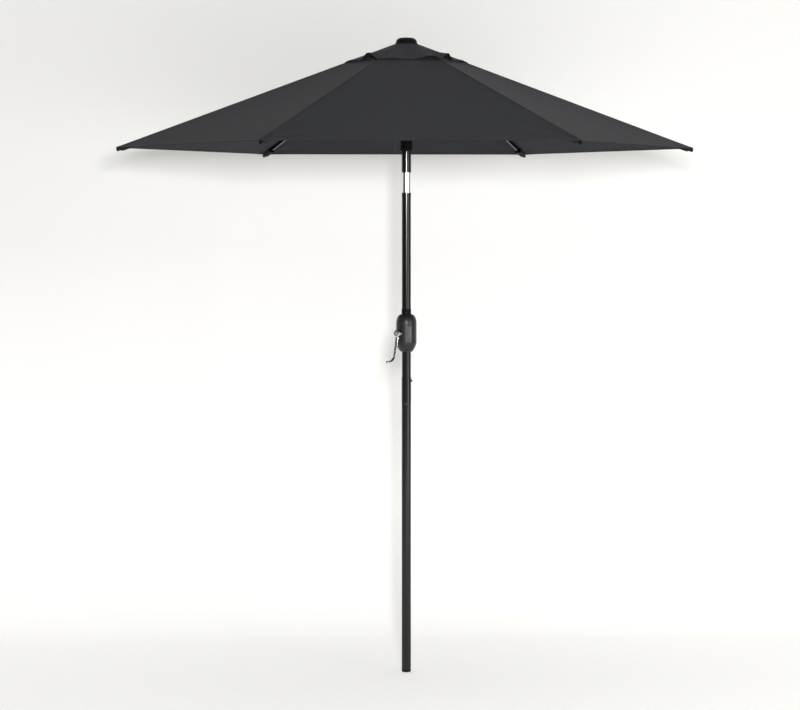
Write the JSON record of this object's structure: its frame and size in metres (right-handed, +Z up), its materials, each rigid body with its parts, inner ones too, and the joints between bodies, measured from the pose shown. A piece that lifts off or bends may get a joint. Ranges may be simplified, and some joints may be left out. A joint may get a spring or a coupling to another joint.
{
  "type": "patio umbrella",
  "caption": "Round-panelled market umbrella with a vented canopy, crank lift, push-button tilt and a two-piece pole, for a separate base.",
  "frame": {"origin": "centre of the foot cap's underside, at the bottom of the pole", "axes": "+Z up along the pole; +X along rib 1; the crank faces -X and -Y; the canopy tilts down towards +Y"},
  "size_m": [2.1484, 1.8628, 2.371],
  "materials": {
    "powder_coat": "black powder coat, semi-gloss",
    "black_steel": "black oxide",
    "black_plastic": "moulded, satin",
    "housing_plastic": "moulded, fine texture",
    "bush_plastic": "natural acetal",
    "chrome": "bright plated",
    "zinc_steel": "zinc plated",
    "spring_steel": "bare, oiled",
    "canopy_fabric": "woven polyester, charcoal",
    "cord": "braided polyester"
  },
  "bodies": {
    "pole": {"foot_cap": "black_plastic", "lower_pole": "powder_coat", "mid_pole": "powder_coat", "snap_spring": "spring_steel", "crank_housing_front": "housing_plastic", "crank_housing_back": "housing_plastic", "housing_screws": "zinc_steel", "shaft_bushes": "bush_plastic", "brake_spring": "spring_steel", "tilt_collar": "black_plastic", "tilt_tube": "chrome", "lift_cord_lower": "cord"},
    "snap_button": {"snap_button": "black_steel"},
    "tilt_button": {"tilt_button": "black_plastic", "tilt_spring": "spring_steel"},
    "crank": {"crank_shaft": "chrome", "cord_spool": "black_plastic", "cord_winding": "cord", "crank_arm": "chrome", "crank_screw": "zinc_steel"},
    "crank_knob": {"crank_knob": "chrome"},
    "head": {"head_tube": "powder_coat", "tilt_rivets": "black_steel", "top_hub": "black_plastic", "hub_pins": "zinc_steel", "pulley_axle": "zinc_steel", "lift_cord_upper": "cord", "lift_cord_outer": "cord", "canopy": "canopy_fabric", "vent_flap": "canopy_fabric", "finial": "black_plastic", "finial_screw": "zinc_steel"},
    "pulley": {"cord_pulley": "black_plastic"},
    "runner": {"runner": "black_plastic", "runner_pins": "zinc_steel"},
    "rib_1": {"rib_1": "powder_coat", "rib_bracket_1": "powder_coat", "rib_tip_1": "black_plastic"},
    "strut_1": {"strut_1": "powder_coat"},
    "rib_2": {"rib_2": "powder_coat", "rib_bracket_2": "powder_coat", "rib_tip_2": "black_plastic"},
    "strut_2": {"strut_2": "powder_coat"},
    "rib_3": {"rib_3": "powder_coat", "rib_bracket_3": "powder_coat", "rib_tip_3": "black_plastic"},
    "strut_3": {"strut_3": "powder_coat"},
    "rib_4": {"rib_4": "powder_coat", "rib_bracket_4": "powder_coat", "rib_tip_4": "black_plastic"},
    "strut_4": {"strut_4": "powder_coat"},
    "rib_5": {"rib_5": "powder_coat", "rib_bracket_5": "powder_coat", "rib_tip_5": "black_plastic"},
    "strut_5": {"strut_5": "powder_coat"},
    "rib_6": {"rib_6": "powder_coat", "rib_bracket_6": "powder_coat", "rib_tip_6": "black_plastic"},
    "strut_6": {"strut_6": "powder_coat"}
  },
  "joints": [
    {"name": "tilt", "type": "hinge", "parent": "pole", "child": "head", "pos_m": [0, 0, 1.8825], "axis": [1, 0, 0], "range_deg": [-35, 0]},
    {"name": "snap_button_press", "type": "slide", "parent": "pole", "child": "snap_button", "axis": [-1, 0, 0], "range_m": [0, 0.0055], "stiffness_N_per_m": 900, "springref_m": -0.004},
    {"name": "tilt_button_press", "type": "slide", "parent": "pole", "child": "tilt_button", "axis": [0, -1, 0], "range_m": [0, 0.0018], "stiffness_N_per_m": 900, "springref_m": -0.004},
    {"name": "crank_turn", "type": "hinge", "parent": "pole", "child": "crank", "pos_m": [0, 0, 1.275], "axis": [-0.7071, -0.7071, 0], "continuous": true},
    {"name": "knob_spin", "type": "hinge", "parent": "crank", "child": "crank_knob", "pos_m": [-0.06647, -0.06647, 1.17], "axis": [-0.7071, -0.7071, 0], "continuous": true},
    {"name": "pulley_turn", "type": "hinge", "parent": "head", "child": "pulley", "pos_m": [0, 0.0095, 2.29324], "axis": [1, 0, 0], "continuous": true},
    {"name": "canopy_fold", "type": "hinge", "parent": "head", "child": "rib_1", "pos_m": [0.035, 0, 2.33824], "axis": [0, 1, 0], "range_deg": [0, 64.7]},
    {"name": "rib_fold_2", "type": "hinge", "parent": "head", "child": "rib_2", "pos_m": [0.0175, 0.03031, 2.33824], "axis": [-0.866, 0.5, 0], "range_deg": [0, 64.7]},
    {"name": "rib_fold_3", "type": "hinge", "parent": "head", "child": "rib_3", "pos_m": [-0.0175, 0.03031, 2.33824], "axis": [-0.866, -0.5, 0], "range_deg": [0, 64.7]},
    {"name": "rib_fold_4", "type": "hinge", "parent": "head", "child": "rib_4", "pos_m": [-0.035, 0, 2.33824], "axis": [0, -1, 0], "range_deg": [0, 64.7]},
    {"name": "rib_fold_5", "type": "hinge", "parent": "head", "child": "rib_5", "pos_m": [-0.0175, -0.03031, 2.33824], "axis": [0.866, -0.5, 0], "range_deg": [0, 64.7]},
    {"name": "rib_fold_6", "type": "hinge", "parent": "head", "child": "rib_6", "pos_m": [0.0175, -0.03031, 2.33824], "axis": [0.866, 0.5, 0], "range_deg": [0, 64.7]},
    {"name": "strut_fold_1", "type": "hinge", "parent": "rib_1", "child": "strut_1", "pos_m": [0.42384, 0, 2.17948], "axis": [0, 1, 0], "range_deg": [-129.4, 0]},
    {"name": "strut_fold_2", "type": "hinge", "parent": "rib_2", "child": "strut_2", "pos_m": [0.21192, 0.36705, 2.17948], "axis": [-0.866, 0.5, 0], "range_deg": [-129.4, 0]},
    {"name": "strut_fold_3", "type": "hinge", "parent": "rib_3", "child": "strut_3", "pos_m": [-0.21192, 0.36705, 2.17948], "axis": [-0.866, -0.5, 0], "range_deg": [-129.4, 0]},
    {"name": "strut_fold_4", "type": "hinge", "parent": "rib_4", "child": "strut_4", "pos_m": [-0.42384, 0, 2.17948], "axis": [0, -1, 0], "range_deg": [-129.4, 0]},
    {"name": "strut_fold_5", "type": "hinge", "parent": "rib_5", "child": "strut_5", "pos_m": [-0.21192, -0.36705, 2.17948], "axis": [0.866, -0.5, 0], "range_deg": [-129.4, 0]},
    {"name": "strut_fold_6", "type": "hinge", "parent": "rib_6", "child": "strut_6", "pos_m": [0.21192, -0.36705, 2.17948], "axis": [0.866, 0.5, 0], "range_deg": [-129.4, 0]},
    {"name": "runner_pivot", "type": "hinge", "parent": "strut_1", "child": "runner", "pos_m": [0.035, 0, 2.02072], "axis": [0, 1, 0], "range_deg": [0, 64.7]}
  ],
  "couplings": [
    {"joint": "pulley_turn", "follows": "crank_turn", "ratio": 1.06},
    {"joint": "rib_fold_2", "follows": "canopy_fold", "ratio": 1},
    {"joint": "rib_fold_3", "follows": "canopy_fold", "ratio": 1},
    {"joint": "rib_fold_4", "follows": "canopy_fold", "ratio": 1},
    {"joint": "rib_fold_5", "follows": "canopy_fold", "ratio": 1},
    {"joint": "rib_fold_6", "follows": "canopy_fold", "ratio": 1},
    {"joint": "strut_fold_1", "follows": "canopy_fold", "ratio": -2},
    {"joint": "strut_fold_2", "follows": "canopy_fold", "ratio": -2},
    {"joint": "strut_fold_3", "follows": "canopy_fold", "ratio": -2},
    {"joint": "strut_fold_4", "follows": "canopy_fold", "ratio": -2},
    {"joint": "strut_fold_5", "follows": "canopy_fold", "ratio": -2},
    {"joint": "strut_fold_6", "follows": "canopy_fold", "ratio": -2},
    {"joint": "runner_pivot", "follows": "canopy_fold", "ratio": 1}
  ]
}
